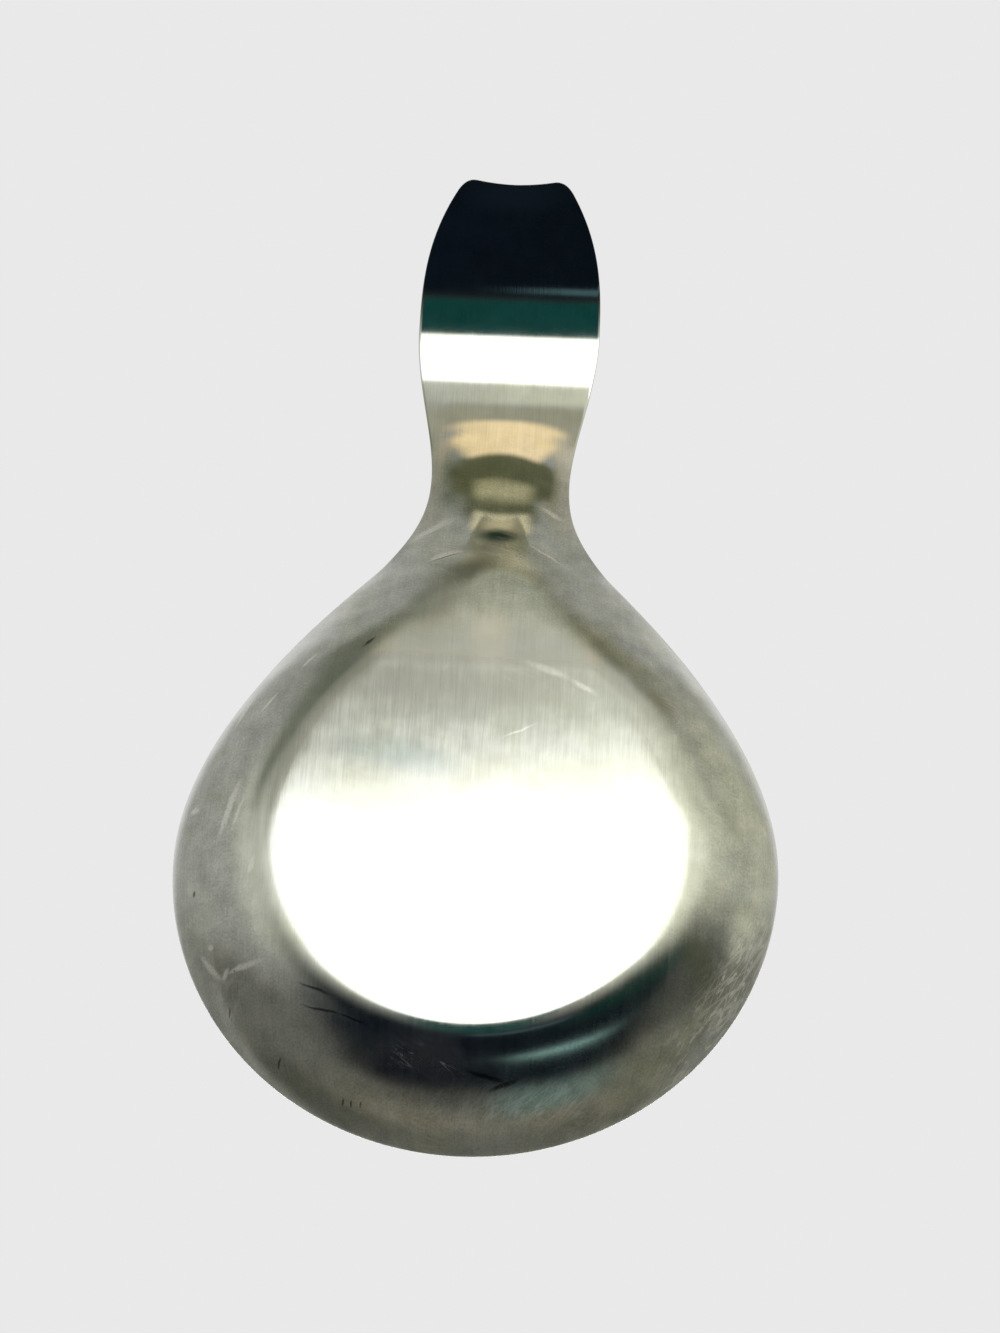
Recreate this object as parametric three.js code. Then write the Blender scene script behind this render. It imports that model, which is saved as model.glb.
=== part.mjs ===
import * as THREE from 'three';
import { mergeVertices } from 'three/addons/utils/BufferGeometryUtils.js';

// Spoon rest pressed from one stainless steel sheet: a round bowl, a trough-shaped neck and an arched grip.
// Millimetres, +Z up. A reach is measured from the bowl's centre towards the grip, along +Y.
// Heights are those of the sheet's underside above the surface that the flat base stands on.
// A taper or a rise is a slope: millimetres across or up for each millimetre of reach.

// Sheet
const sheetThickness = 0.9;

// Outline seen from above
const bowlRadius = 63.5;
const bowlFarReach = 64.6; // from the bowl's centre back to its far end
const shoulderReach = 69.6;
const shoulderHalfWidth = 27.4;
const shoulderTaper = -0.88;
const neckSpan = 32.1; // from the shoulder to the narrowest place
const neckHalfWidth = 15.7;
const gripSpan = 41.5; // from the neck to the widest place of the grip
const gripHalfWidth = 21;
const tipSpan = 34.9; // from the widest place of the grip to the tip corners
const tipHalfWidth = 11.6;
const tipTaper = -0.79;
const tipNotch = 1.1; // depth of the fish-tail hollow between the two tip corners
const tipCorner = 2.5; // length that a rounded tip corner takes from each of its two edges

// Bowl section
const bowlDepth = 18.5;
const wallRun = 22.8; // plan width of the curved wall, from the flat base to the rim
const throatWallRun = 27.5; // the same beside the throat, where the section is rounder
const wallSpreadReach = 28; // where the wall starts to widen towards the throat
const wallSpreadSpan = 30;
const floorBlend = 4; // softens the place where the two walls meet in the neck
const steepestWall = THREE.MathUtils.degToRad(85);

// Middle line, from the flat base to the tip
const baseReach = 38;
const throatSetback = 26.7; // from the neck back to the steepest place
const throatHeight = 12.5;
const throatRise = 0.64;
const neckHeight = 26.5;
const neckRise = 0.4;
const archSpan = 22.3; // from the neck to the top of the arch
const archHeight = 31;
const tipHeight = 16.6;
const tipRise = -0.56;

// Edge line, from the level rim to the arch
const levelRimReach = 45;
const throatRimLift = 2; // how far the edge beside the throat stands above the level rim
const throatRimRise = 0.12;
const neckTrough = 2.4; // depth of the trough across the neck
const neckRimRise = 0.22;

// Facets
const farSteps = 16; // round each quarter of the bowl's far half
const reachSteps = 40; // from the bowl's centre to the fan of ribs at the tip
const tipSideSteps = 2;
const cornerSteps = 3;
const notchSteps = 4; // from a rounded tip corner to the middle of the tip
const wallSteps = 9;
const leastFloorShare = 0.12; // smallest part of a rib that its first facet takes
const slopeProbe = 0.001; // step for measuring the surface's slope
const mergeTolerance = 0.0001;

const neckReach = shoulderReach + neckSpan;
const gripReach = neckReach + gripSpan;
const tipReach = gripReach + tipSpan;
const throatReach = neckReach - throatSetback;
const archReach = neckReach + archSpan;

// Cubic curve through stations that each have a reach, a value and a slope; level before the first one.
function curveThrough(stations) {
  const first = stations[0];
  const last = stations[stations.length - 1];
  return (reach) => {
    if (reach <= first.reach) return first.value;
    if (reach >= last.reach) return last.value + last.slope * (reach - last.reach);
    const next = stations.findIndex((station) => station.reach > reach);
    const a = stations[next - 1];
    const b = stations[next];
    const span = b.reach - a.reach;
    const t = (reach - a.reach) / span;
    const fromA = a.value * (1 + 2 * t) + a.slope * span * t;
    const fromB = b.value * (3 - 2 * t) + b.slope * span * (t - 1);
    return fromA * (1 - t) ** 2 + fromB * t ** 2;
  };
}

const halfWidthAt = curveThrough([
  { reach: 0, value: bowlRadius, slope: 0 },
  { reach: shoulderReach, value: shoulderHalfWidth, slope: shoulderTaper },
  { reach: neckReach, value: neckHalfWidth, slope: 0 },
  { reach: gripReach, value: gripHalfWidth, slope: 0 },
  { reach: tipReach, value: tipHalfWidth, slope: tipTaper },
]);

const middleHeightAt = curveThrough([
  { reach: baseReach, value: 0, slope: 0 },
  { reach: throatReach, value: throatHeight, slope: throatRise },
  { reach: neckReach, value: neckHeight, slope: neckRise },
  { reach: archReach, value: archHeight, slope: 0 },
  { reach: tipReach, value: tipHeight, slope: tipRise },
]);

const edgeHeightAt = curveThrough([
  { reach: levelRimReach, value: bowlDepth, slope: 0 },
  { reach: throatReach, value: bowlDepth + throatRimLift, slope: throatRimRise },
  { reach: neckReach, value: neckHeight + neckTrough, slope: neckRimRise },
  { reach: archReach, value: archHeight, slope: 0 },
  { reach: tipReach, value: tipHeight, slope: tipRise },
]);

const wallRunAt = curveThrough([
  { reach: wallSpreadReach, value: wallRun, slope: 0 },
  { reach: wallSpreadReach + wallSpreadSpan, value: throatWallRun, slope: 0 },
]);

// Section across the sheet at one reach: a level floor, then a wall that is an arc tangent to the floor.
// The wall keeps its width square to the outline, so across a slanting outline it is wider.
function sectionAt(reach) {
  const halfWidth = halfWidthAt(reach);
  const taper = (halfWidthAt(reach + slopeProbe) - halfWidthAt(reach - slopeProbe)) / (2 * slopeProbe);
  const left = halfWidth - wallRunAt(reach) * Math.hypot(1, taper);
  const floorHalfWidth = (left + Math.hypot(left, floorBlend)) / 2;
  const middle = middleHeightAt(reach);
  const rise = edgeHeightAt(reach) - middle;
  const run = halfWidth - floorHalfWidth;
  const wallAngle = Math.min(2 * Math.atan(Math.abs(rise) / run), steepestWall);
  return { halfWidth, floorHalfWidth, middle, rise, run, wallAngle };
}

// Height of the underside. Behind the bowl's centre the section at reach 0 is turned about that centre,
// and drawn out a little towards the far end.
function heightAt(x, y) {
  const section = sectionAt(Math.max(y, 0));
  const across = y < 0 ? Math.hypot(x, (y * bowlRadius) / bowlFarReach) : Math.abs(x);
  const t = Math.max(across - section.floorHalfWidth, 0) / section.run;
  const level = 1 + Math.cos(section.wallAngle);
  const arc = 1 + Math.sqrt(1 - (t * Math.sin(section.wallAngle)) ** 2);
  return section.middle + (section.rise * t ** 2 * level) / arc;
}

// Direction square to the sheet, pointing up out of the bowl.
function upwardNormalAt(x, y) {
  const slopeX = (heightAt(x + slopeProbe, y) - heightAt(x - slopeProbe, y)) / (2 * slopeProbe);
  const slopeY = (heightAt(x, y + slopeProbe) - heightAt(x, y - slopeProbe)) / (2 * slopeProbe);
  return new THREE.Vector3(-slopeX, -slopeY, 1).normalize();
}

// Ribs of one half, from the far end to the middle of the tip. Each runs from its root to the outline.
function halfRibs() {
  const centre = new THREE.Vector2(0, 0);
  const farArc = new THREE.EllipseCurve(0, 0, bowlRadius, bowlFarReach, -Math.PI / 2, 0);
  const ribs = farArc.getPoints(farSteps).map((rim) => ({ root: centre, rim }));

  const fanReach = tipReach - tipHalfWidth / 2;
  for (let step = 1; step <= reachSteps; step++) {
    const reach = (fanReach * step) / reachSteps;
    ribs.push({ root: new THREE.Vector2(0, reach), rim: new THREE.Vector2(halfWidthAt(reach), reach) });
  }

  const fan = new THREE.Vector2(0, fanReach);
  const cornerReach = tipReach - tipCorner;
  for (let step = 1; step < tipSideSteps; step++) {
    const reach = THREE.MathUtils.lerp(fanReach, cornerReach, step / tipSideSteps);
    ribs.push({ root: fan, rim: new THREE.Vector2(halfWidthAt(reach), reach) });
  }

  const notchPoint = (x) => new THREE.Vector2(x, tipReach - tipNotch * (1 - (x / tipHalfWidth) ** 2));
  const notchStart = tipHalfWidth - tipCorner;
  const corner = new THREE.QuadraticBezierCurve(
    new THREE.Vector2(halfWidthAt(cornerReach), cornerReach),
    new THREE.Vector2(tipHalfWidth, tipReach),
    notchPoint(notchStart),
  );
  for (const rim of corner.getPoints(cornerSteps)) {
    ribs.push({ root: fan, rim });
  }
  for (let step = 1; step <= notchSteps; step++) {
    ribs.push({ root: fan, rim: notchPoint(notchStart * (1 - step / notchSteps)) });
  }
  return ribs;
}

// Places along a rib, as parts of its length: one facet for the floor, then equal angles of the wall's arc.
function ribShares(rib) {
  const section = sectionAt(Math.max(rib.rim.y, 0));
  const floorShare = Math.max(section.floorHalfWidth / section.halfWidth, leastFloorShare);
  const shares = [0, floorShare];
  for (let step = 1; step <= wallSteps; step++) {
    const part = section.wallAngle > slopeProbe
      ? Math.sin((section.wallAngle * step) / wallSteps) / Math.sin(section.wallAngle)
      : step / wallSteps;
    shares.push(THREE.MathUtils.lerp(floorShare, 1, part));
  }
  return shares;
}

// Closed skin of the sheet: underside, top side one sheet thickness away, and the cut edge between them.
function pressedSheetGeometry() {
  const half = halfRibs();
  const mirrored = half.slice(1, -1).reverse().map(({ root, rim }) => (
    { root, rim: new THREE.Vector2(-rim.x, rim.y) }
  ));
  const ribs = [...half, ...mirrored];

  const rings = wallSteps + 2;
  const under = [];
  const top = [];
  for (const rib of ribs) {
    for (const share of ribShares(rib)) {
      const place = rib.root.clone().lerp(rib.rim, share);
      const point = new THREE.Vector3(place.x, place.y, heightAt(place.x, place.y));
      const normal = upwardNormalAt(place.x, place.y);
      under.push(...point.toArray());
      top.push(...point.addScaledVector(normal, sheetThickness).toArray());
    }
  }

  const topStart = ribs.length * rings;
  const faces = [];
  ribs.forEach((_, rib) => {
    const here = rib * rings;
    const next = ((rib + 1) % ribs.length) * rings;
    for (let ring = 0; ring < rings - 1; ring++) {
      const quad = [here + ring, here + ring + 1, next + ring + 1, next + ring];
      const [a, b, c, d] = quad;
      faces.push([a, c, b], [a, d, c]);
      const [e, f, g, h] = quad.map((index) => index + topStart);
      faces.push([e, f, g], [e, g, h]);
    }
    const edge = here + rings - 1;
    const nextEdge = next + rings - 1;
    faces.push([edge, nextEdge, nextEdge + topStart], [edge, nextEdge + topStart, edge + topStart]);
  });

  const sheet = new THREE.BufferGeometry();
  sheet.setAttribute('position', new THREE.Float32BufferAttribute([...under, ...top], 3));
  sheet.setIndex(faces.flat());
  const merged = mergeVertices(sheet, mergeTolerance);

  // Where ribs share a root, a facet shrinks to a line and is left out.
  const corners = Array.from(merged.getIndex().array);
  const kept = [];
  for (let start = 0; start < corners.length; start += 3) {
    const facet = corners.slice(start, start + 3);
    if (new Set(facet).size === 3) kept.push(...facet);
  }
  merged.setIndex(kept);
  return merged;
}

// The origin is on the standing surface, under the middle of the overall length.
function centreOverBase(geometry) {
  geometry.computeBoundingBox();
  const middle = geometry.boundingBox.getCenter(new THREE.Vector3());
  geometry.translate(0, -middle.y, 0);
  geometry.computeVertexNormals();
  return geometry;
}

const brushedSteel = new THREE.MeshStandardMaterial({
  name: 'brushed_steel',
  color: 0xb4b3aa,
  roughness: 0.34,
  metalness: 1,
});

const pressedSteelBody = new THREE.Mesh(centreOverBase(pressedSheetGeometry()), brushedSteel);
pressedSteelBody.name = 'pressed_steel_body';

const spoonRest = new THREE.Group();
spoonRest.name = 'spoon_rest';
spoonRest.add(pressedSteelBody);

export default spoonRest;
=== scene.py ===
import math

import bpy
import numpy as np
from mathutils import Matrix, Vector


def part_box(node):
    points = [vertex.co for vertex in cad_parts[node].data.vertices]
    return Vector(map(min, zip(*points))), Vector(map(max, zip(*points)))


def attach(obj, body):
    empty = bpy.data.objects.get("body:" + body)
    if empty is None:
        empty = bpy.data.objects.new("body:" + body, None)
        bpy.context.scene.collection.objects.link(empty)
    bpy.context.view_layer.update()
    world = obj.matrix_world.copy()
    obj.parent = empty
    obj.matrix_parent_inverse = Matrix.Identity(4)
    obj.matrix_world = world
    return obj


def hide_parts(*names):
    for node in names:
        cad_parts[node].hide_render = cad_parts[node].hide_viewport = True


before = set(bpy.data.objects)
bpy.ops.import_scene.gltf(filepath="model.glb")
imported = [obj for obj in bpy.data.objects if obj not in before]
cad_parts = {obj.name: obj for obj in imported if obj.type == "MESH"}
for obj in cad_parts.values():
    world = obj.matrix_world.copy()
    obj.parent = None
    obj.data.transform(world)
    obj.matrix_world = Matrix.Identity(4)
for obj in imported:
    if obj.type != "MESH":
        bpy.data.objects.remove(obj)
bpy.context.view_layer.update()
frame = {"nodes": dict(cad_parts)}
print("frame loaded:", ", ".join(frame["nodes"]))

mm = 0.001
scene = bpy.context.scene


# one socket of a node tree: arithmetic on it adds Math nodes, node() adds any other kind
class Wire:
    def __init__(self, tree, socket=None):
        self.tree = tree
        self.socket = socket

    def node(self, kind, settings=None, sockets=None, out=0):
        made = self.tree.nodes.new(kind)
        for name, value in (settings or {}).items():
            setattr(made, name, value)
        for name, value in (sockets or {}).items():
            if isinstance(value, Wire):
                self.tree.links.new(value.socket, made.inputs[name])
            else:
                made.inputs[name].default_value = value
        return Wire(self.tree, made.outputs[out] if made.outputs else None)

    def maths(self, operation, *values):
        return self.node("ShaderNodeMath", {"operation": operation}, dict(enumerate(values)))

    def __add__(self, other):
        return self.maths("ADD", self, other)

    def __radd__(self, other):
        return self.maths("ADD", other, self)

    def __sub__(self, other):
        return self.maths("SUBTRACT", self, other)

    def __rsub__(self, other):
        return self.maths("SUBTRACT", other, self)

    def __mul__(self, other):
        return self.maths("MULTIPLY", self, other)

    def __rmul__(self, other):
        return self.maths("MULTIPLY", other, self)

    def __truediv__(self, other):
        return self.maths("DIVIDE", self, other)

    def __rtruediv__(self, other):
        return self.maths("DIVIDE", other, self)

    def __neg__(self):
        return self.maths("MULTIPLY", self, -1.0)

    def __abs__(self):
        return self.maths("ABSOLUTE", self)

    def smooth(self, low, high):  # 0 at low, 1 at high, eased between them
        return self.node("ShaderNodeMapRange", {"interpolation_type": "SMOOTHSTEP"},
                         {"Value": self, "From Min": low, "From Max": high})

    def within(self, low, high, blur):  # 1 between low and high, eased out over the blur at both ends
        return self.smooth(low - blur / 2, low + blur / 2) * self.smooth(high + blur / 2, high - blur / 2)

    def mixed(self, share, first, second):  # first where share is 0, second where it is 1
        return self.node("ShaderNodeMix", {"data_type": "RGBA"}, {0: share, 6: first, 7: second}, out=2)


# pressed sheet: reaches run from the bowl's centre towards the grip, in mm
sheet = {
    "node": "pressed_steel_body",
    "thickness": 0.9,
    "edgeRound": 0.12,  # how far the dressed edge curves in from the outline
    "edgeSquareness": 3.2,  # 2 is a half round, more is squarer
    "bowlRadius": 63.5,
    "farReach": 64.6,
    "floorBlend": 4.0,
    "steepestWall": 85.0,
    "tipReach": 178.1,
    "tipHalfWidth": 11.6,
    "tipNotch": 1.1,
    "tipCorner": 2.5,
    # stations of reach, value and slope
    "halfWidth": [(0, 63.5, 0), (69.6, 27.4, -0.88), (101.7, 15.7, 0), (143.2, 21, 0),
                  (178.1, 11.6, -0.79)],
    "middle": [(38, 0, 0), (75, 12.5, 0.64), (101.7, 26.5, 0.4), (124, 31, 0), (178.1, 16.6, -0.56)],
    "wallRun": [(28, 22.8, 0), (58, 27.5, 0)],
    "ease": [(0, 4, 0), (30, 9, 0)],  # width over which the flat base turns into the wall
    "edge": [(45, 18.5, 0), (75, 20.5, 0.12), (101.7, 28.9, 0.22), (124, 31, 0), (178.1, 16.6, -0.56)],
    # grid steps
    "farSteps": 72,
    "reachSteps": 160,
    "sideSteps": 6,
    "cornerSteps": 10,
    "notchSteps": 14,
    "floorSteps": 20,
    "wallSteps": 34,
    "edgeSteps": 10,
    "leastFloorShare": 0.12,
    "probe": 0.001,
}
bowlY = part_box(sheet["node"])[0].y + sheet["farReach"] * mm  # bowl's centre in the row frame


# cubic between stations, each with its own slope; level before the first, straight after the last
def curveThrough(stations):
    reach, value, slope = np.array(stations, float).T

    def at(y):
        k = np.clip(np.searchsorted(reach, y, side="right") - 1, 0, len(reach) - 2)
        span = reach[k + 1] - reach[k]
        t = (y - reach[k]) / span
        fromHere = value[k] * (1 + 2 * t) + slope[k] * span * t
        fromNext = value[k + 1] * (3 - 2 * t) + slope[k + 1] * span * (t - 1)
        between = fromHere * (1 - t) ** 2 + fromNext * t**2
        after = value[-1] + slope[-1] * (y - reach[-1])
        return np.select([y <= reach[0], y >= reach[-1]], [value[0], after], between)

    return at


halfWidthAt = curveThrough(sheet["halfWidth"])
middleAt = curveThrough(sheet["middle"])
edgeAt = curveThrough(sheet["edge"])
wallRunAt = curveThrough(sheet["wallRun"])
easeAt = curveThrough(sheet["ease"])


# section across the sheet: a level floor, then a wall that is an arc tangent to the floor
def sectionAt(reach):
    probe = sheet["probe"]
    halfWidth = halfWidthAt(reach)
    taper = (halfWidthAt(reach + probe) - halfWidthAt(reach - probe)) / (2 * probe)
    left = halfWidth - wallRunAt(reach) * np.hypot(1, taper)
    floorHalf = (left + np.hypot(left, sheet["floorBlend"])) / 2
    rise = edgeAt(reach) - middleAt(reach)
    run = halfWidth - floorHalf
    wallAngle = np.minimum(2 * np.arctan(np.abs(rise) / run), math.radians(sheet["steepestWall"]))
    return halfWidth, floorHalf, rise, run, wallAngle


# underside: middle + rise * t^2 * (1 + cos a) / (1 + sqrt(1 - (t sin a)^2)), t running 0 to 1 up the wall
# and eased in where the floor ends; behind the bowl's centre the section at reach 0 is turned about it
def heightAt(x, y):
    reach = np.maximum(y, 0)
    _, floorHalf, rise, run, wallAngle = sectionAt(reach)
    stretch = sheet["bowlRadius"] / sheet["farReach"]
    across = np.where(y < 0, np.hypot(x, y * stretch), np.abs(x))
    ease = np.minimum(easeAt(reach), 2 * floorHalf)
    beyond = np.maximum(across - floorHalf + ease / 2, 0)
    t = np.where(beyond < ease, beyond**2 / (2 * ease), beyond - ease / 2) / run
    arc = 1 + np.sqrt(1 - (t * np.sin(wallAngle)) ** 2)
    return middleAt(reach) + rise * t**2 * (1 + np.cos(wallAngle)) / arc


def upwardAt(x, y):  # unit normal out of the bowl, from the slopes of the height
    probe = sheet["probe"]
    slopeX = (heightAt(x + probe, y) - heightAt(x - probe, y)) / (2 * probe)
    slopeY = (heightAt(x, y + probe) - heightAt(x, y - probe)) / (2 * probe)
    normal = np.stack([-slopeX, -slopeY, np.ones_like(slopeX)], -1)
    return normal / np.linalg.norm(normal, axis=-1, keepdims=True)


# ribs of one half from the far end to the middle of the tip, each from its root to the outline
def halfRibs():
    turn = np.linspace(-math.pi / 2, 0, sheet["farSteps"] + 1)
    farRim = np.stack([sheet["bowlRadius"] * np.cos(turn), sheet["farReach"] * np.sin(turn)], 1)
    fanReach = sheet["tipReach"] - sheet["tipHalfWidth"] / 2
    reach = np.linspace(0, fanReach, sheet["reachSteps"] + 1)[1:]
    rowRim = np.stack([halfWidthAt(reach), reach], 1)
    rowRoot = np.stack([0 * reach, reach], 1)
    cornerReach = sheet["tipReach"] - sheet["tipCorner"]
    side = np.linspace(fanReach, cornerReach, sheet["sideSteps"] + 1)[1:-1]
    sideRim = np.stack([halfWidthAt(side), side], 1)

    def notchPoint(x):
        dip = sheet["tipNotch"] * (1 - (x / sheet["tipHalfWidth"]) ** 2)
        return np.stack([x, sheet["tipReach"] - dip], 1)

    notchStart = sheet["tipHalfWidth"] - sheet["tipCorner"]
    t = np.linspace(0, 1, sheet["cornerSteps"] + 1)[:, None]
    cornerFrom = np.array([[halfWidthAt(np.array(cornerReach)), cornerReach]])
    cornerPeak = np.array([[sheet["tipHalfWidth"], sheet["tipReach"]]])
    cornerTo = notchPoint(np.array([notchStart]))
    cornerRim = cornerFrom * (1 - t) ** 2 + cornerPeak * 2 * t * (1 - t) + cornerTo * t**2
    notchRim = notchPoint(notchStart * (1 - np.linspace(0, 1, sheet["notchSteps"] + 1)[1:]))
    fanRim = np.concatenate([sideRim, cornerRim, notchRim])
    root = np.concatenate([0 * farRim, rowRoot, np.tile([0, fanReach], (len(fanRim), 1))])
    return root, np.concatenate([farRim, rowRim, fanRim])


# closed skin: each rib runs along the underside, round the dressed edge and back along the top side
def sheetGrid():
    root, rim = halfRibs()
    mirror = np.array([-1, 1])
    root = np.concatenate([root, root[-2:0:-1] * mirror])
    rim = np.concatenate([rim, rim[-2:0:-1] * mirror])
    halfWidth, floorHalf, _, _, wallAngle = sectionAt(np.maximum(rim[:, 1], 0))
    floorShare = np.maximum(floorHalf / halfWidth, sheet["leastFloorShare"])[:, None]
    onFloor = (1 - np.linspace(1, 0, sheet["floorSteps"] + 1)[None, :] ** 2) * floorShare
    angle = np.maximum(wallAngle, sheet["probe"])[:, None]
    steps = np.linspace(0, 1, sheet["wallSteps"] + 1)[None, 1:]
    onWall = floorShare + (1 - floorShare) * np.sin(angle * steps) / np.sin(angle)
    length = np.linalg.norm(rim - root, axis=1, keepdims=True)
    share = np.concatenate([onFloor, onWall], 1) * (1 - sheet["edgeRound"] / length)

    place = root[:, None, :] + (rim - root)[:, None, :] * share[:, :, None]
    x, y = place[..., 0], place[..., 1]
    under = np.stack([x, y, heightAt(x, y)], -1)
    normal = upwardAt(x, y)
    top = under + sheet["thickness"] * normal

    edgeNormal = normal[:, -1]
    middle = under[:, -1] + edgeNormal * sheet["thickness"] / 2
    along = np.roll(middle, -1, 0) - np.roll(middle, 1, 0)
    outward = np.cross(along, edgeNormal)
    outward /= np.linalg.norm(outward, axis=1, keepdims=True)
    phi = np.linspace(-math.pi / 2, math.pi / 2, sheet["edgeSteps"] + 1)[1:-1]
    power = 2 / sheet["edgeSquareness"]
    upPart = np.sign(np.sin(phi)) * np.abs(np.sin(phi)) ** power * sheet["thickness"] / 2
    outPart = np.abs(np.cos(phi)) ** power * sheet["edgeRound"]
    edge = (middle[:, None] + edgeNormal[:, None] * upPart[None, :, None]
            + outward[:, None] * outPart[None, :, None])

    # where each point lay on the flat blank before pressing: the rib's true length laid out from its root
    stretch = np.linalg.norm(np.diff(under, axis=1), axis=2)
    laid = np.concatenate([np.zeros((len(root), 1)), np.cumsum(stretch, 1)], 1)
    heading = (rim - root) / length
    flat = root[:, None, :] + heading[:, None, :] * laid[:, :, None]
    flatEdge = np.repeat(flat[:, -1:], len(phi), 1)
    blank = np.concatenate([flat, flatEdge, flat[:, ::-1]], 1)
    topSide = np.concatenate([0 * x, np.full(edge.shape[:2], 0.5), 1 + 0 * x], 1)
    slope = np.degrees(np.arccos(normal[..., 2]))
    drawn = np.concatenate([slope, np.repeat(slope[:, -1:], len(phi), 1), slope[:, ::-1]], 1)
    skin = np.concatenate([under, edge, top[:, ::-1]], 1)
    return skin, np.concatenate([blank, topSide[..., None]], 2), drawn


# puts a grid that closes round its first index into a mesh; points that coincide become one
def closedMesh(name, grid, blank, drawn):
    ribs, rings = grid.shape[:2]
    placed = np.round(grid.reshape(-1, 3), 6)
    points, first, joined = np.unique(placed, axis=0, return_index=True, return_inverse=True)
    joined = joined.reshape(ribs, rings)
    following = np.roll(joined, -1, 0)
    corners = [joined[:, :-1], following[:, :-1], following[:, 1:], joined[:, 1:]]
    quads = np.stack(corners, -1).reshape(-1, 4)
    atStart = quads[:, 0] == quads[:, 1]
    atEnd = quads[:, 2] == quads[:, 3]
    faces = quads[~atStart & ~atEnd].tolist() + quads[atStart & ~atEnd][:, 1:].tolist()
    faces += quads[atEnd & ~atStart][:, :3].tolist()
    mesh = bpy.data.meshes.new(name)
    mesh.from_pydata(points * mm + np.array([0, bowlY, 0]), [], faces)
    laid = mesh.attributes.new("blank", "FLOAT_VECTOR", "POINT")
    laid.data.foreach_set("vector", blank.reshape(-1, 3)[first].ravel())
    pressed = mesh.attributes.new("drawn", "FLOAT", "POINT")
    pressed.data.foreach_set("value", drawn.ravel()[first])
    mesh.polygons.foreach_set("use_smooth", np.ones(len(mesh.polygons), bool))
    mesh.update()
    piece = bpy.data.objects.new(name, mesh)
    scene.collection.objects.link(piece)
    return piece


pressedSheet = closedMesh("pressed_sheet", *sheetGrid())
print("pressed sheet:", len(pressedSheet.data.polygons), "faces")


# brushed steel: lengths in mm on the flat blank, x across and y towards the grip, from the bowl's centre
steel = {
    "colour": (0.592, 0.61, 0.558),
    "olive": (0.54, 0.55, 0.455),  # patina
    "brown": (0.57, 0.53, 0.465),
    # painted shade: the dressed edge is darker so that it shows less of the lamp's reflection
    "edgeColour": (0.46, 0.46, 0.43),
    "throatTint": (0.715, 0.775, 0.75),  # brighter, greener steel in the throat
    "baseRough": 0.078,
    "roundRough": 0.092,  # where the base turns into the wall
    "wallRough": 0.20,
    "throatRough": 0.46,
    "gripRough": 0.055,
    "throatStart": (36, 45),
    "throatEnd": (72, 62),
    "throatTaper": 0.68,  # how fast the throat's floor narrows towards the neck
    "throatEdge": (58, 47),
    "flank": (83, 112, 10),  # worn sides of the neck: from, to and how softly they end
    "flankEdge": (10.5, 14.5),  # out from the middle
    "flankRough": 0.38,
    "flankColour": (0.645, 0.635, 0.565),
    "gripStart": (70, 79),
    "easedStart": (8, 24),  # where the base turns up more softly
    "easedSide": (5, -10),
    "easedRough": 0.12,
    "roundSlope": (0.5, 5),  # degrees
    "wallSlope": (3, 30),  # degrees, from flat to fully drawn
    "fineLine": (0.30, 8),  # width and length of the brushed lines
    "broadLine": (1.1, 26),
    "cloud": 17,  # size of the patina's patches
    "smudge": 5,
    "grit": 0.55,
    "waver": 1.1,  # how far a scratch strays from its line
    "lineRough": 0.09,  # what each pattern adds to or takes from the roughness
    "smudgeRough": 0.05,
    "gripEven": 0.6,  # how much less of that on the grip
    "lineShade": 0.42,  # and the shade of the colour
    "smudgeShade": 0.30,
    "smudgeShadeOnWall": 0.5,
    "gritShadeOnWall": 0.65,
    "patinaLean": 0.0022,  # more patina towards -X, for each mm
    "brownShare": 0.25,
    "lineHeight": 0.0025 * mm,
}
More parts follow.
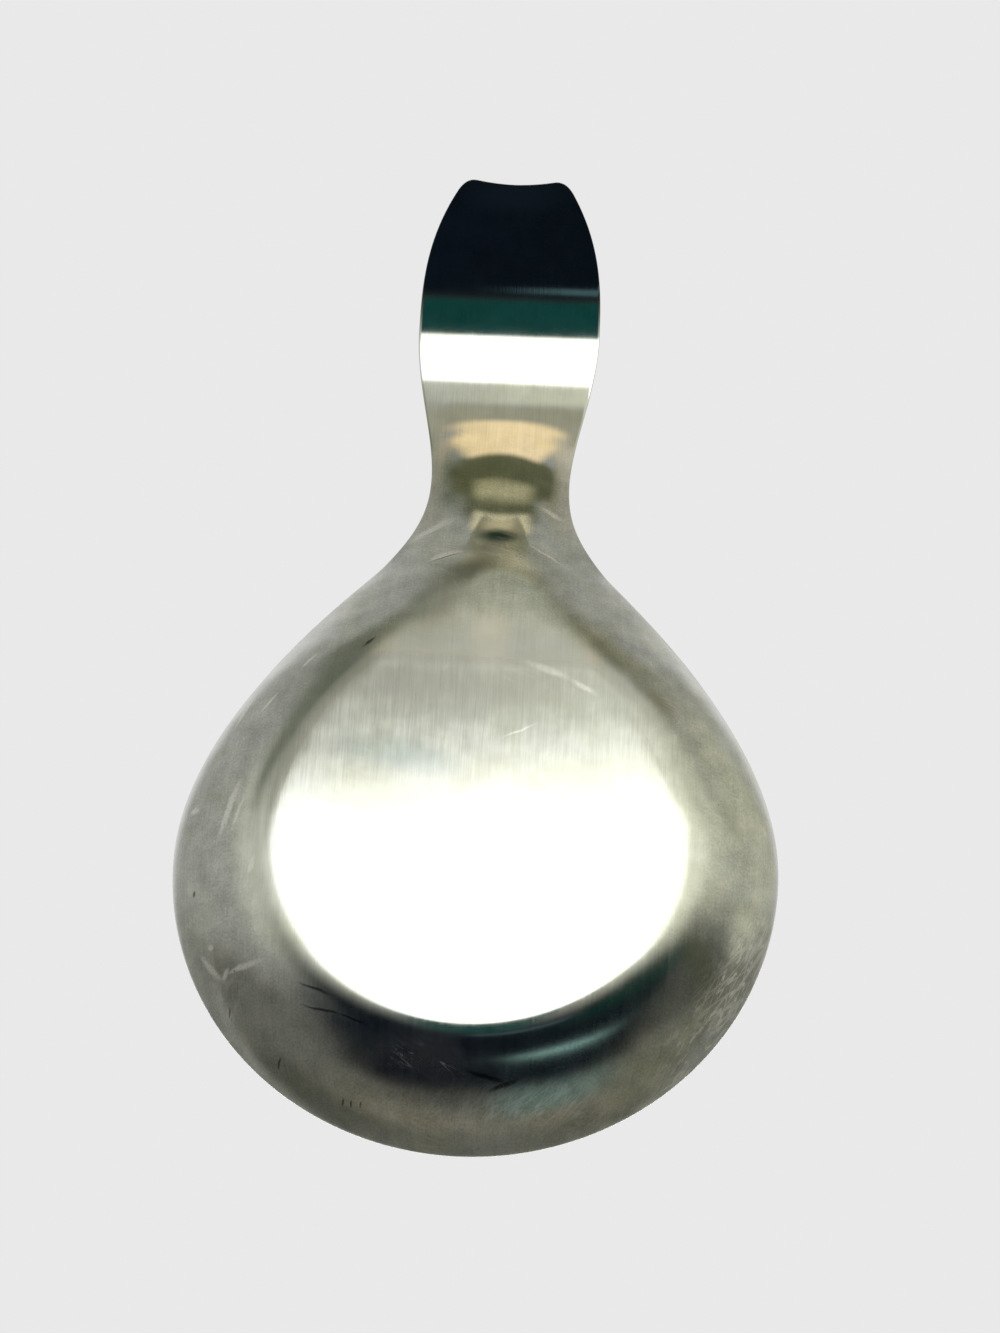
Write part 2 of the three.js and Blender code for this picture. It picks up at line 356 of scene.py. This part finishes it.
# marks on the underside, some worn and some painted highlights and shade: x, y, heading in degrees, length,
# width
wearAndPaintedLight = {
    "pale": [
        (51.3, 3.3, 106, 14, 1.7),
        (49.2, 2.0, 105, 8, 0.8),
        (45.0, -10.1, 102, 4, 1.0),
        (54.9, -31.2, 43, 10, 1.9),
        (46.0, -31.6, -13, 10, 1.5),
        (50.7, -32.7, -55, 4.5, 1.7),
        (53.1, 29.4, 109, 8, 1.2),
        (45.7, 29.7, 124, 6, 0.9),
        (38.1, 40.3, 128, 5, 0.9),
        (61.6, 5.8, 13, 3.6, 1.6),
        (54.5, -26.6, 0, 1.8, 1.5),
        (-13.5, 37.9, 22, 12, 2.0),
        (-21.1, 34.2, 31, 7, 1.6),
        (-8.2, 23.2, -27, 8, 0.7),
        (14.1, 84.0, -34, 12, 2.4),
        (-12.2, 91.0, 37, 8, 1.8),
        (-11.6, 74.5, 35, 9, 0.8),
        (10.5, 72.2, -17, 8, 2.6),
    ],
    "dark": [
        (59.5, -14.2, -76, 1.6, 1.0),
        (24.8, -60.2, -75, 1.8, 0.5),
        (22.8, -60.6, -75, 1.8, 0.5),
        (20.8, -60.8, -75, 1.8, 0.5),
        (51.0, -40.9, -70, 2.8, 0.5),
        (39.0, -52.0, -60, 3.2, 0.6),
        (30.1, -36.8, 20, 7.5, 0.6),
        (28.5, -41.0, 15, 8.5, 0.6),
        (22.0, -43.0, 20, 6.5, 0.5),
        (-5.2, -53.6, 15, 9.5, 1.1),
        (-8.7, -55.3, -26, 7, 1.1),
        (10.5, 71.5, -19, 8, 0.45),
        (24.6, 43.5, -40, 3.5, 0.8),
    ],
    "scuffed": [  # hairline scratches; the last is a share
        (-55.5, -35, -62, 56, 20, 1.0),
        (-8, -58, 4, 64, 14, 0.5),
        (50, -38, -60, 13, 7, 0.6),
    ],
    "hazy": (7, -50, 8, 26, 11),  # fine hairlines
    "grimy": (-51.6, 8.2, 57, 13, 5),
    # kinds of hairline: heading, seed and distance apart
    "scratches": [(-53, 17, 2.4), (-38, 19, 3.0), (-74, 21, 3.4)],
    "lowHairs": (24, 23, 1.5),
    "steepHairs": (68, 29, 1.5),
    "hazyHairs": (32, 31, 1.8),
    "chips": (3.4, 1.2, -58, 27, 3.0),  # length, width, heading, seed and detail
    "scratchShare": 0.75,
    "looseShare": 0.2,
    "grimyShare": 0.6,
    "paleShare": 0.9,
    "darkShare": 0.85,
    "paleOnBase": 0.27,  # how strong a pale mark is on the flat base, 1 on the wall
    "hazyRough": 0.08,
    "paleRough": 0.45,
    "paleColour": (0.97, 0.96, 0.90),
    "darkColour": (0.09, 0.09, 0.08),
    "stainsAndPaintedLight": [  # place, colour and share; besides real blots and tints, these hold painted highlights, shade and reflections
        ((-0.8, 83.3, 0, 13, 7), (0.97, 0.88, 0.66), 0.6),  # painted highlight: cream arc in the neck
        ((-0.8, 79.7, 0, 10, 6), (0.003, 0.045, 0.03), 1.0),  # painted shade: dark spot beside it
        ((0.3, 72, -78, 13, 10), (0.20, 0.21, 0.18), 0.75),  # painted shade at the end of the throat
        ((5, 66, -52, 16, 8), (0.19, 0.20, 0.17), 0.9),  # painted shade on its +X side
        ((11, 56, -75, 34, 13), (0.40, 0.41, 0.36), 0.55),  # painted shade on the +X side further back
        ((-1, 44, 90, 20, 10), (0.97, 0.97, 0.88), 0.6),  # painted highlight in the middle of the throat
        ((18, 17, 8, 30, 9), (0.36, 0.42, 0.40), 0.55),  # teal grey on the base
        ((2, 35, 2, 90, 26), (0.42, 0.43, 0.385), 0.75),  # painted shade: darker band across the base
        ((-38.5, 31.5, 38, 8, 4), (0.40, 0.36, 0.28), 0.6),  # brown spot on the -X shoulder
        ((-47, -26, 60, 16, 7), (0.42, 0.46, 0.29), 0.5),  # green tint on the -X wall
        ((6, -51, 0, 30, 12), (0.60, 0.48, 0.46), 0.7),  # reddish tint on the far wall
        ((0, 175, 0, 24, 9), (0.97, 0.93, 0.80), 0.9),  # cream painted on the tip of the grip, which the neck reflects as a painted highlight
    ],
}


def brushedSteel(s, w):
    material = bpy.data.materials.new("brushed_steel")
    material.use_nodes = True
    tree = material.node_tree
    tree.nodes.clear()
    canvas = Wire(tree)
    blank = canvas.node("ShaderNodeAttribute", {"attribute_name": "blank"}, out="Vector")
    drawn = canvas.node("ShaderNodeAttribute", {"attribute_name": "drawn"}, out="Fac")
    parts = canvas.node("ShaderNodeSeparateXYZ", None, {0: blank}).socket.node.outputs
    x, y, side = (Wire(tree, parts[name]) for name in "XYZ")

    def laid(vector, place, heading, size):  # the vector seen from a place, turned and measured in its size
        return canvas.node("ShaderNodeMapping", {"vector_type": "TEXTURE"},
                           {"Vector": vector, "Location": place, "Rotation": (0, 0, math.radians(heading)),
                            "Scale": size})

    def grain(length, width, heading, seed, detail, out=0):  # noise drawn out along a heading
        spot = laid(blank, (0, 0, seed), heading, (length, width, 0.1))
        sockets = {"Vector": spot, "Scale": 1.0, "Detail": detail}
        return canvas.node("ShaderNodeTexNoise", None, sockets, out)

    fineWidth, fineLength = s["fineLine"]
    broadWidth, broadLength = s["broadLine"]
    fine = grain(fineLength, fineWidth, 90, 3, 2.0)
    broad = grain(broadLength, broadWidth, 90, 11, 2.0)
    cloud = grain(s["cloud"], s["cloud"], 0, 5, 3.0)
    smudge = grain(s["smudge"], s["smudge"], 0, 7, 4.0)
    grit = grain(s["grit"], s["grit"], 0, 9, 2.0)
    lines = fine * 0.6 + broad * 0.4

    stray = grain(4.0, 4.0, 0, 13, 2.0, out="Color")
    widest, middle = s["waver"], -s["waver"] / 2
    stray = canvas.node("ShaderNodeVectorMath", {"operation": "MULTIPLY_ADD"},
                        {0: stray, 1: (widest, widest, 0), 2: (middle, middle, 0)})
    wavering = canvas.node("ShaderNodeVectorMath", {"operation": "ADD"}, {0: blank, 1: stray})

    def marked(place, soft):  # 1 inside a long oval on the underside
        acrossPlace, alongPlace, heading, length, width = place
        local = laid(wavering, (acrossPlace, alongPlace, 0), heading, (length / 2, width / 2, 0.3))
        away = canvas.node("ShaderNodeVectorMath", {"operation": "LENGTH"}, {0: local}, out="Value")
        return away.smooth(1.3, soft)

    def greatest(shares):
        found = 0
        for share in shares:
            found = canvas.maths("MAXIMUM", found, share)
        return found

    def hairs(heading, seed, apart):  # contour lines of a drawn-out noise, about so many mm apart
        return abs(grain(apart * 9, apart, heading, seed, 1.0) - 0.5).smooth(0.09 / apart, 0.015 / apart)

    scratches = greatest(hairs(*kind) for kind in w["scratches"]) * cloud.smooth(0.36, 0.50)
    chips = grain(*w["chips"]).smooth(0.53, 0.63) * smudge.smooth(0.40, 0.52)
    flakes = greatest([scratches * w["scratchShare"], chips])
    scuffed = greatest(marked(place, 0.2) * share for *place, share in w["scuffed"])
    lowHairs = hairs(*w["lowHairs"]) * cloud.smooth(0.55, 0.70)
    steepHairs = hairs(*w["steepHairs"]) * smudge.smooth(0.58, 0.72)
    loose = greatest([lowHairs, steepHairs]) * w["looseShare"]
    hazy = marked(w["hazy"], 0.1) * smudge.smooth(0.32, 0.48)
    pale = greatest(marked(place, 0.3) for place in w["pale"]) * grit.smooth(0.19, 0.47)
    pale = greatest([pale, scuffed * flakes, loose, hairs(*w["hazyHairs"]) * hazy])
    grimy = marked(w["grimy"], 0.1) * grit.smooth(0.50, 0.70) * w["grimyShare"]
    dark = greatest(marked(place, 0.4) for place in w["dark"]) * grit.smooth(0.25, 0.45)
    dark = greatest([dark, grimy])

    grip = y.smooth(*s["gripStart"])
    wall = drawn.smooth(*s["wallSlope"])
    pale = pale * (w["paleOnBase"] + wall * (1 - w["paleOnBase"]))
    throat = y.smooth(*s["throatStart"]) * y.smooth(*s["throatEnd"])
    throat = throat * (abs(x) + y * s["throatTaper"]).smooth(*s["throatEdge"])
    rounded = drawn.smooth(*s["roundSlope"])
    rough = s["baseRough"] + rounded * (s["roundRough"] - s["baseRough"])
    rough = rough + wall * (s["wallRough"] - s["roundRough"])
    eased = y.smooth(*s["easedStart"]) * x.smooth(*s["easedSide"])
    rough = rough + rounded * (1 - wall) * eased * s["easedRough"]
    rough = rough * (1 - grip) + s["gripRough"] * grip
    rough = rough * (1 - throat) + s["throatRough"] * throat
    flank = y.within(*s["flank"]) * abs(x).smooth(*s["flankEdge"])
    rough = rough * (1 - flank) + s["flankRough"] * flank
    uneven = (lines - 0.5) * s["lineRough"] + (smudge - 0.5) * s["smudgeRough"]
    rough = rough + uneven * (1 - grip * s["gripEven"])
    rough = canvas.maths("MAXIMUM", rough + hazy * w["hazyRough"], pale * w["paleRough"])

    edge = side.within(0.25, 0.75, 0.3)
    patina = (cloud - x * s["patinaLean"]).smooth(0.32, 0.72)
    colour = canvas.mixed(patina, (*s["colour"], 1), (*s["olive"], 1))
    colour = canvas.mixed(smudge.smooth(0.50, 0.66) * wall * s["brownShare"], colour, (*s["brown"], 1))
    colour = canvas.mixed(throat.smooth(0.2, 1.0), colour, (*s["throatTint"], 1))
    colour = canvas.mixed(flank, colour, (*s["flankColour"], 1))
    # painted shade on the dressed edge, which dims the lamp's reflection there
    colour = canvas.mixed(edge, colour, (*s["edgeColour"], 1))
    shade = 1 + (lines - 0.5) * s["lineShade"]
    shade = shade + (smudge - 0.5) * (s["smudgeShade"] + wall * s["smudgeShadeOnWall"])
    shade = shade + (grit - 0.5) * wall * s["gritShadeOnWall"]
    colour = canvas.node("ShaderNodeVectorMath", {"operation": "SCALE"}, {0: colour, "Scale": shade})
    # real blots and tints, and the painted highlights, shade and reflections listed above
    for place, patchColour, share in w["stainsAndPaintedLight"]:
        colour = canvas.mixed(marked(place, 0.2) * share, colour, (*patchColour, 1))
    colour = canvas.mixed(pale * w["paleShare"], colour, (*w["paleColour"], 1))
    colour = canvas.mixed(dark * w["darkShare"], colour, (*w["darkColour"], 1))

    ridges = canvas.node("ShaderNodeBump", None,
                         {"Strength": 1.0, "Distance": s["lineHeight"], "Height": lines})
    finish = canvas.node("ShaderNodeBsdfPrincipled", None,
                         {"Base Color": colour, "Metallic": 1.0, "Roughness": rough, "Normal": ridges})
    canvas.node("ShaderNodeOutputMaterial", None, {"Surface": finish})
    return material


pressedSheet.data.materials.append(brushedSteel(steel, wearAndPaintedLight))
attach(pressedSheet, "root")
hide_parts(sheet["node"])
print("steel finished")


# pale floor that sweeps up all round, seen only from above: a ray that comes up through it meets it no more
floor = {
    "drop": 0.2 * mm,
    "flat": 3.0,  # metres of level floor round the part
    "reach": 8.0,  # where the sweep ends
    "rise": 4.2,
    "rings": 40,
    "turns": 96,
    "colour": (0.80, 0.79, 0.795),
    "roughness": 0.6,
    "backdrop": (0.78, 0.78, 0.78),  # far part, as the camera and the steel see it
    "backdropFrom": (0.7, 2.6),  # metres out
}


# height: level out to the flat radius, then rise * share^2 of the way out to the reach
def paleFloor(s):
    radius = np.concatenate([[0.0], np.linspace(s["flat"], s["reach"], s["rings"])])
    share = np.clip((radius - s["flat"]) / (s["reach"] - s["flat"]), 0, 1)
    turn = np.linspace(0, 2 * math.pi, s["turns"], endpoint=False)
    height = np.tile(s["rise"] * share**2 - s["drop"], (len(turn), 1))
    points = np.stack([np.cos(turn)[:, None] * radius, np.sin(turn)[:, None] * radius, height], -1)
    index = np.arange(points.shape[0] * points.shape[1]).reshape(points.shape[:2])
    following = np.roll(index, -1, 0)
    quads = np.stack([index[:, :-1], index[:, 1:], following[:, 1:], following[:, :-1]], -1).reshape(-1, 4)
    mesh = bpy.data.meshes.new("floor")
    mesh.from_pydata(points.reshape(-1, 3), [], quads.tolist())
    mesh.polygons.foreach_set("use_smooth", np.ones(len(mesh.polygons), bool))
    sweep = bpy.data.objects.new("floor", mesh)
    scene.collection.objects.link(sweep)
    material = bpy.data.materials.new("pale_floor")
    material.use_nodes = True
    tree = material.node_tree
    tree.nodes.clear()
    canvas = Wire(tree)
    paint = canvas.node("ShaderNodeBsdfDiffuse", None,
                        {"Color": (*s["colour"], 1), "Roughness": s["roughness"]})
    clear = canvas.node("ShaderNodeBsdfTransparent")
    below = canvas.node("ShaderNodeNewGeometry", out="Backfacing")
    passed = canvas.node("ShaderNodeLightPath", out="Transparent Depth")
    unseen = canvas.maths("MAXIMUM", below, canvas.maths("GREATER_THAN", passed, 0.5))
    place = canvas.node("ShaderNodeTexCoord", out="Object")
    away = canvas.node("ShaderNodeVectorMath", {"operation": "LENGTH"}, {0: place}, out="Value")
    seen = canvas.node("ShaderNodeLightPath", out="Is Camera Ray")
    mirrored = canvas.node("ShaderNodeLightPath", out="Is Glossy Ray")
    far = away.smooth(*s["backdropFrom"]) * canvas.maths("MAXIMUM", seen, mirrored)
    pale = canvas.node("ShaderNodeEmission", None, {"Color": (*s["backdrop"], 1), "Strength": 1.0})
    surface = canvas.node("ShaderNodeMixShader", None, {0: far, 1: paint, 2: pale})
    surface = canvas.node("ShaderNodeMixShader", None, {0: unseen, 1: surface, 2: clear})
    canvas.node("ShaderNodeOutputMaterial", None, {"Surface": surface})
    mesh.materials.append(material)


paleFloor(floor)
print("floor laid")


# studio round the part, by direction in degrees: turn 0 is straight down, 90 level towards the grip and
# 180 straight up; aside is how far a direction leans to +X
studio = {
    "room": (0.46, 0.46, 0.44),
    # turn from, to and blur; aside from, to and blur; colour; turn gained for each degree aside
    "cards": {  # a later card covers an earlier one
        "roofNear": ((158, 260, 30), (-95, 95, 1), (0.27, 0.27, 0.25)),
        "rightWall": ((40, 150, 40), (-95, -36, 24), (0.645, 0.645, 0.555)),
        "farWall": ((-150, -8, 40), (-95, 95, 1), (0.178, 0.176, 0.158)),
        "roofFar": ((-260, -150, 30), (-95, 95, 1), (0.27, 0.27, 0.25)),
        "farLeft": ((-140, -86, 26), (24, 58, 18), (0.11, 0.11, 0.095)),
        "farRight": ((-125, -60, 30), (-80, -38, 20), (0.225, 0.222, 0.18)),
        "farGlow": ((-98, -74, 20), (-35, 35, 30), (0.25, 0.235, 0.20)),
        "farGap": ((-69, -47, 14), (-20, 24, 14), (0.10, 0.10, 0.09)),
        "tealFar": ((-80, -45, 20), (-40, -10, 14), (0.19, 0.26, 0.26)),
        "leftLight": ((7, 44, 16), (8, 42, 24), (0.74, 0.74, 0.665)),
        "rightLight": ((17, 48, 14), (-55, -6, 24), (0.84, 0.84, 0.75)),
        "rightShade": ((-40, 16, 16), (-95, -40, 18), (0.10, 0.105, 0.09)),
        "rightWing": ((4, 33, 8), (-33, -8, 20), (1.30, 1.30, 1.19)),
        "leftWing": ((14, 30, 8), (4, 17, 10), (1.10, 1.10, 1.00)),
        "darkCloth": ((-52, 13, 20), (-44, 27, 20), (0.005, 0.009, 0.016)),
        "darkLeft": ((-52, -4, 16), (10, 34, 24), (0.005, 0.009, 0.016)),
        "tealRight": ((-2, 9, 8), (-40, -12, 10), (0.002, 0.034, 0.030)),
        "tealEdge": ((5.8, 18, 2), (-4, 6, 4), (0.008, 0.068, 0.066)),
        "tealStreak": ((-23, -19.3, 3.6), (-29, -9, 12), (0.56, 0.92, 0.92)),
        "tipStreak": ((2.6, 4.0, 0.8), (-10, 1.6, 1.4), (0.09, 0.17, 0.21)),
        "leftDull": ((26, 36, 5), (5, 16, 8), (0.48, 0.47, 0.41)),
        "spill": ((26, 33, 3), (-10, 2.5, 5), (0.99, 0.98, 0.88)),
        "dullGap": ((34, 43, 4), (-8, 11, 7), (0.50, 0.48, 0.40)),
        "softbox": ((15.0, 25, 0.9), (-16.5, 7, 12), (2.5, 2.5, 2.5)),
        "softboxTop": ((18, 27.62, 1.2), (-15, 9, 10), (2.5, 2.5, 2.5), 0.12),
        "oliveSides": ((59.5, 82, 5), (-17, 18, 6), (0.15, 0.155, 0.09)),
        "warmTop": ((41.7, 49, 4), (-2.5, 4.5, 3.5), (1.38, 1.08, 0.71)),
        "warmCard": ((47, 61.3, 5), (-5.5, 8.5, 4), (1.38, 1.08, 0.71)),
        "leftGap": ((32, 90, 12), (11, 30, 12), (0.22, 0.235, 0.19)),
        "rightGap": ((52, 92, 14), (-28, -13, 10), (0.33, 0.32, 0.25)),
        "oliveGap": ((63.2, 82, 5), (-17, 18, 6), (0.15, 0.155, 0.09)),
        "oliveLow": ((78, 90, 5), (-11, 13, 7), (0.15, 0.155, 0.09)),
        "oliveCard": ((76.5, 83, 5), (-9, 10, 6), (0.52, 0.48, 0.30)),
        "tanArc": ((87.3, 93, 2), (-8, 9, 4), (0.84, 0.76, 0.54)),
        "horizon": ((94, 108, 4), (-9, 9, 10), (0.37, 0.38, 0.34)),
    },
    # pale all round the direction that the camera looks in: full and gone in degrees from it
    "backdrop": {
        "toward": (0.008, 0.486, 0.874),
        "full": 15.5,
        "gone": 44,
        "colour": (0.815, 0.815, 0.815),
    },
}


def studioWorld(s):
    world = bpy.data.worlds.new("studio")
    scene.world = world
    world.use_nodes = True
    tree = world.node_tree
    tree.nodes.clear()
    canvas = Wire(tree)
    direction = canvas.node("ShaderNodeTexCoord", out="Generated")
    parts = canvas.node("ShaderNodeSeparateXYZ", None, {0: direction}).socket.node.outputs
    x, y, z = (Wire(tree, parts[name]) for name in "XYZ")
    degrees = 180 / math.pi
    turn = canvas.maths("ARCTAN2", y, -z) * degrees
    aside = canvas.maths("ARCSINE", x) * degrees
    sky = (*s["room"], 1)
    for turnSpan, asideSpan, colour, *lean in s["cards"].values():
        leaned = turn + aside * lean[0] if lean else turn
        sky = canvas.mixed(leaned.within(*turnSpan) * aside.within(*asideSpan), sky, (*colour, 1))
    back = s["backdrop"]
    facing = canvas.node("ShaderNodeVectorMath", {"operation": "DOT_PRODUCT"},
                         {0: direction, 1: back["toward"]}, out="Value")
    share = facing.smooth(math.cos(math.radians(back["gone"])), math.cos(math.radians(back["full"])))
    sky = canvas.mixed(share, sky, (*back["colour"], 1))
    light = canvas.node("ShaderNodeBackground", None, {"Color": sky, "Strength": 1.0})
    canvas.node("ShaderNodeOutputWorld", None, {"Surface": light})


studioWorld(studio)


# soft lamp above for the views from above
lamps = {
    "key": {"place": (0, 0.2, 2.5), "size": 2.0, "watts": 46.0},
}


def softLamp(name, s):
    data = bpy.data.lights.new(name, "AREA")
    data.shape = "DISK"
    data.size = s["size"]
    data.energy = s["watts"]
    lamp = bpy.data.objects.new(name, data)
    lamp.location = s["place"]
    lamp.rotation_euler = (-Vector(s["place"])).to_track_quat("-Z", "Y").to_euler()
    lamp.visible_camera = False
    scene.collection.objects.link(lamp)


for name, settings in lamps.items():
    softLamp(name, settings)
print("studio lit")


# camera under the part, looking up at the underside
camera = {
    "distance": 750 * mm,
    "lens": 93.74,
    "tilt": 29.17,  # away from straight below, towards the far end of the bowl
    "swing": 3.96,  # of that tilt, about the vertical
    "roll": -1.22,
    "aim": (0, 58 * mm, 12 * mm),  # from the bowl's centre on the standing surface
    "offset": (2.31 * mm, -11.52 * mm),  # of the picture's middle from that aim, across and up the picture
}


def lookUp(s):
    tilt, swing, roll = (math.radians(s[name]) for name in ("tilt", "swing", "roll"))
    back = Vector((-math.sin(tilt) * math.sin(swing), -math.sin(tilt) * math.cos(swing), -math.cos(tilt)))
    above = Vector((math.cos(tilt) * math.sin(swing), math.cos(tilt) * math.cos(swing), -math.sin(tilt)))
    right = above.cross(back)
    across = right * math.cos(roll) + above * math.sin(roll)
    up = above * math.cos(roll) - right * math.sin(roll)
    aim = Vector(s["aim"]) + Vector((0, bowlY, 0)) + across * s["offset"][0] + up * s["offset"][1]
    data = bpy.data.cameras.new("camera")
    data.lens = s["lens"]
    eye = bpy.data.objects.new("camera", data)
    turned = Matrix((across, up, back)).transposed().to_4x4()
    eye.matrix_world = Matrix.Translation(aim + back * s["distance"]) @ turned
    scene.collection.objects.link(eye)
    scene.camera = eye


lookUp(camera)
scene.view_settings.view_transform = "Standard"
